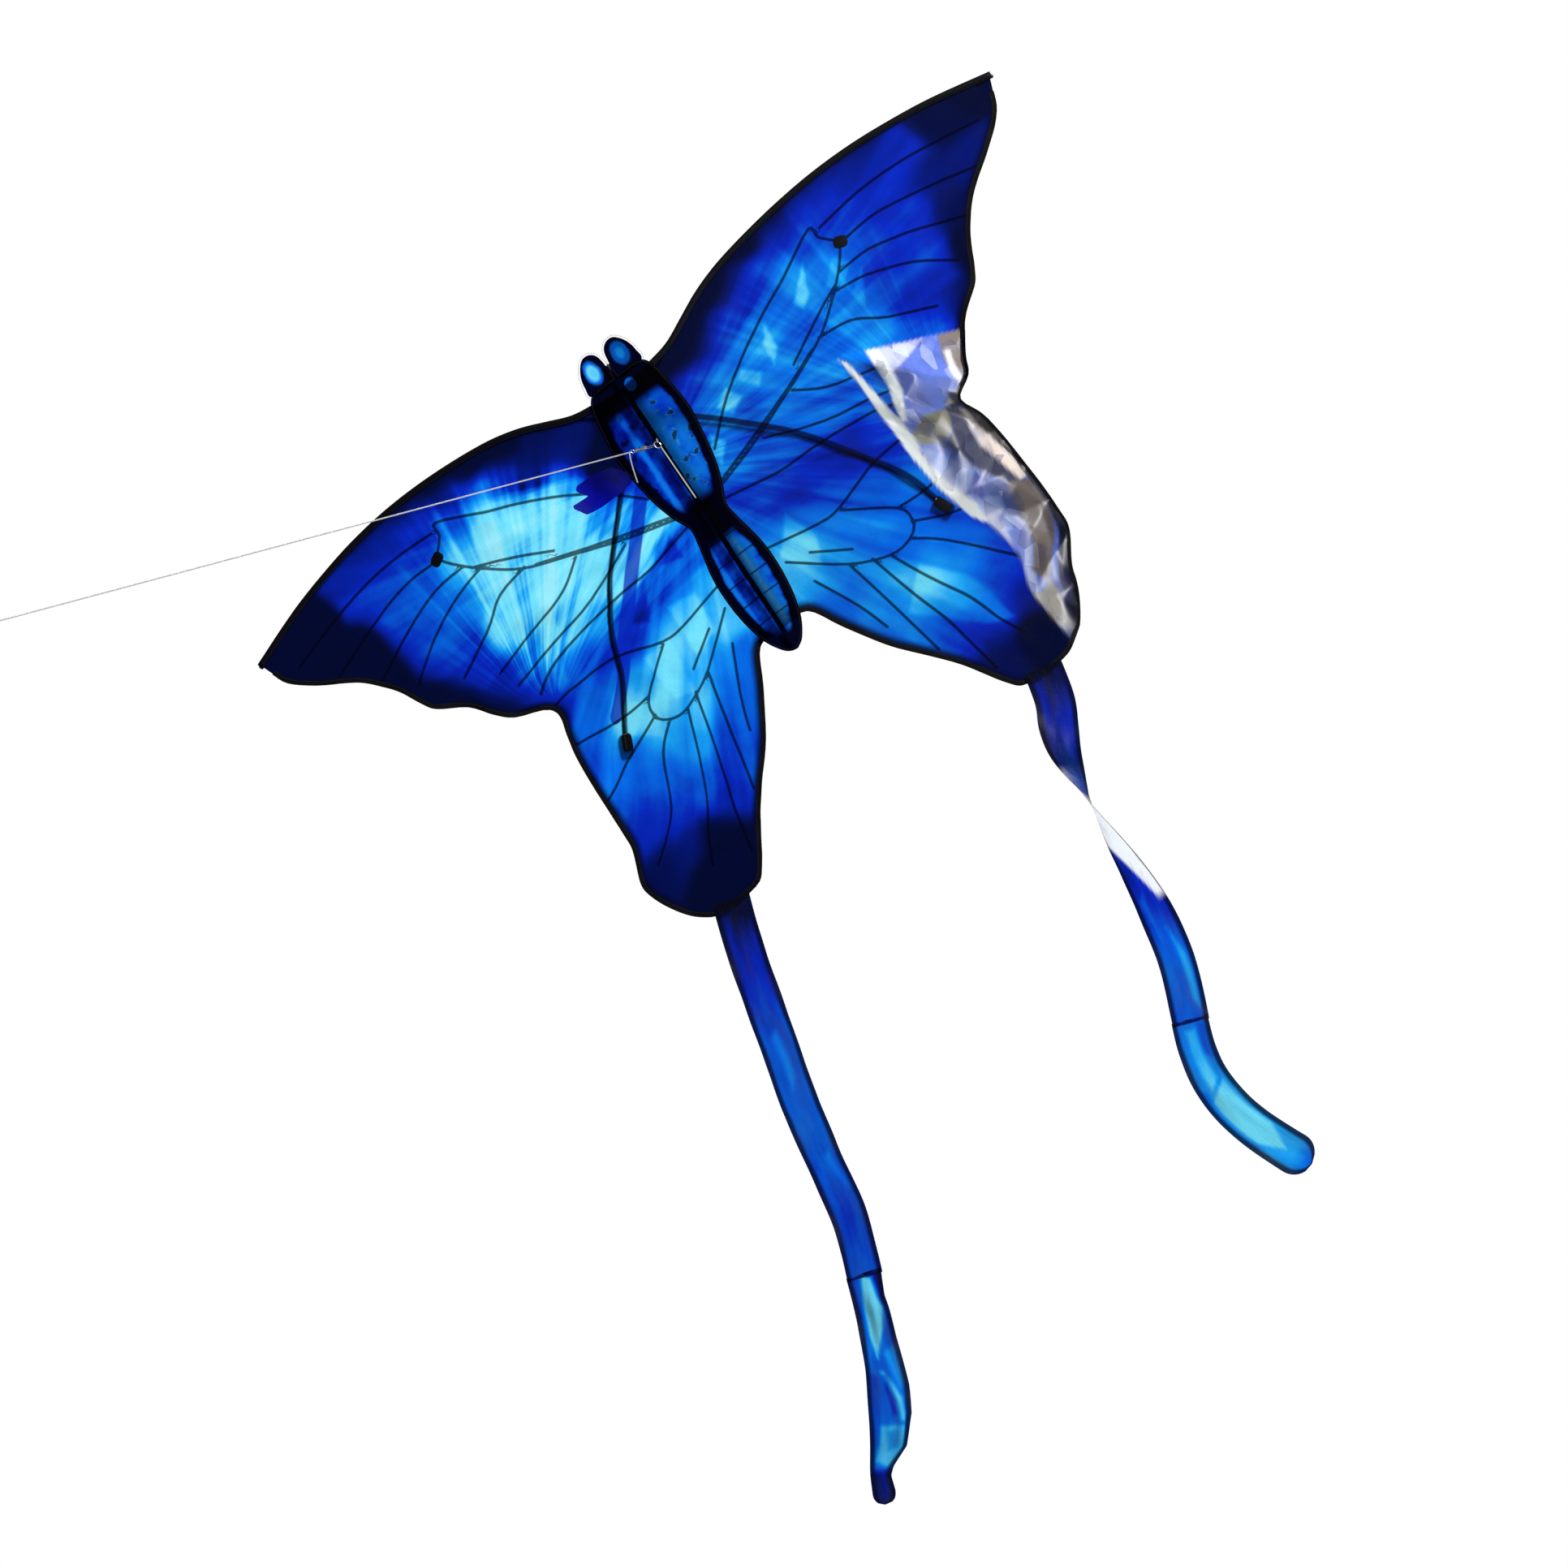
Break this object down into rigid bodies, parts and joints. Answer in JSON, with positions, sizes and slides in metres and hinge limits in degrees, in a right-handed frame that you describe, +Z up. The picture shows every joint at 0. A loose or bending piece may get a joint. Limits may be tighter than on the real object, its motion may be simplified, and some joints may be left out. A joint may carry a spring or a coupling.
{
  "type": "butterfly kite",
  "caption": "Single-line butterfly kite: rod-framed printed wings, bridled body, swivel clip and line, and ribbon tails that swing and fold.",
  "frame": {"origin": "centre of the tow ring, where the line holds the kite", "axes": "+Z up to the kite's nose, +X along the wing that is on the right when the flyer faces the kite, -Y towards the flyer"},
  "size_m": [1.4163, 0.9249, 1.5521],
  "materials": {
    "printed_ripstop": "printed ripstop nylon, translucent",
    "tail_ripstop": "printed ripstop nylon, translucent",
    "body_print": "printed polyester, dark edges",
    "black_binding": "folded and stitched nylon tape",
    "pennant_ribbon": "satin ribbon",
    "black_vinyl": "soft vinyl",
    "grey_fibreglass": "pultruded fibreglass",
    "white_line": "braided polyester",
    "plated_steel": "nickel plated wire"
  },
  "bodies": {
    "kite": {"body_panel": "body_print", "head_lobe_left": "body_print", "head_lobe_right": "body_print", "wing_left": "printed_ripstop", "wing_right": "printed_ripstop", "leading_sleeve_left": "black_binding", "leading_sleeve_right": "black_binding", "rear_hem_left": "black_binding", "rear_hem_right": "black_binding", "wing_rod_left": "grey_fibreglass", "wing_rod_right": "grey_fibreglass", "tip_cap_left": "black_vinyl", "tip_cap_right": "black_vinyl", "rod_cap_left": "black_vinyl", "rod_cap_right": "black_vinyl", "hind_pocket_left": "black_binding", "hind_pocket_right": "black_binding", "fore_patch_left": "black_binding", "fore_patch_right": "black_binding", "spine_rod": "grey_fibreglass", "nose_cap": "black_vinyl", "spine_end_cap": "black_vinyl", "spine_clip_upper": "black_binding", "spine_clip_lower": "black_binding", "rod_crossing_tie": "black_vinyl", "bridle_leg_upper": "white_line", "bridle_leg_lower": "white_line", "tow_ring": "plated_steel", "snap_hook": "plated_steel", "snap_collar": "plated_steel", "swivel_barrel": "plated_steel"},
    "tail_left": {"tail_left": "tail_ripstop"},
    "tail_left_end": {"tail_end_left": "tail_ripstop"},
    "tail_right": {"tail_right": "tail_ripstop"},
    "tail_right_end": {"tail_end_right": "tail_ripstop"},
    "pennant": {"pennant": "pennant_ribbon"},
    "gate": {"snap_gate": "plated_steel"},
    "line": {"swivel_eye": "plated_steel", "flying_line": "white_line", "line_knot": "white_line", "line_loop": "white_line"}
  },
  "joints": [
    {"name": "tail_left_swing", "type": "hinge", "parent": "kite", "child": "tail_left", "pos_m": [-0.257, 0.04848, -0.5745], "axis": [1, 0, 0], "range_deg": [-70, 85]},
    {"name": "tail_left_end_fold", "type": "hinge", "parent": "tail_left", "child": "tail_left_end", "pos_m": [-0.391, 0.04848, -1.101], "axis": [1, 0, 0], "range_deg": [-60, 60]},
    {"name": "tail_right_swing", "type": "hinge", "parent": "kite", "child": "tail_right", "pos_m": [0.257, 0.04848, -0.5745], "axis": [1, 0, 0], "range_deg": [-70, 85]},
    {"name": "tail_right_end_fold", "type": "hinge", "parent": "tail_right", "child": "tail_right_end", "pos_m": [0.156, 0.04848, -1.085], "axis": [1, 0, 0], "range_deg": [-60, 60]},
    {"name": "pennant_flap", "type": "hinge", "parent": "kite", "child": "pennant", "pos_m": [-0.0635, 0.0205, -0.012], "axis": [0, 0, 1], "range_deg": [-8, 70]},
    {"name": "snap_gate_open", "type": "hinge", "parent": "kite", "child": "gate", "pos_m": [-0.01475, -0.01225, 0.00056], "axis": [-0.0199, -0.0217, -0.9996], "range_deg": [0, 18]},
    {"name": "swivel_spin", "type": "hinge", "parent": "kite", "child": "line", "pos_m": [0, 0, 0], "axis": [-0.6753, -0.7369, 0.0294], "continuous": true}
  ]
}
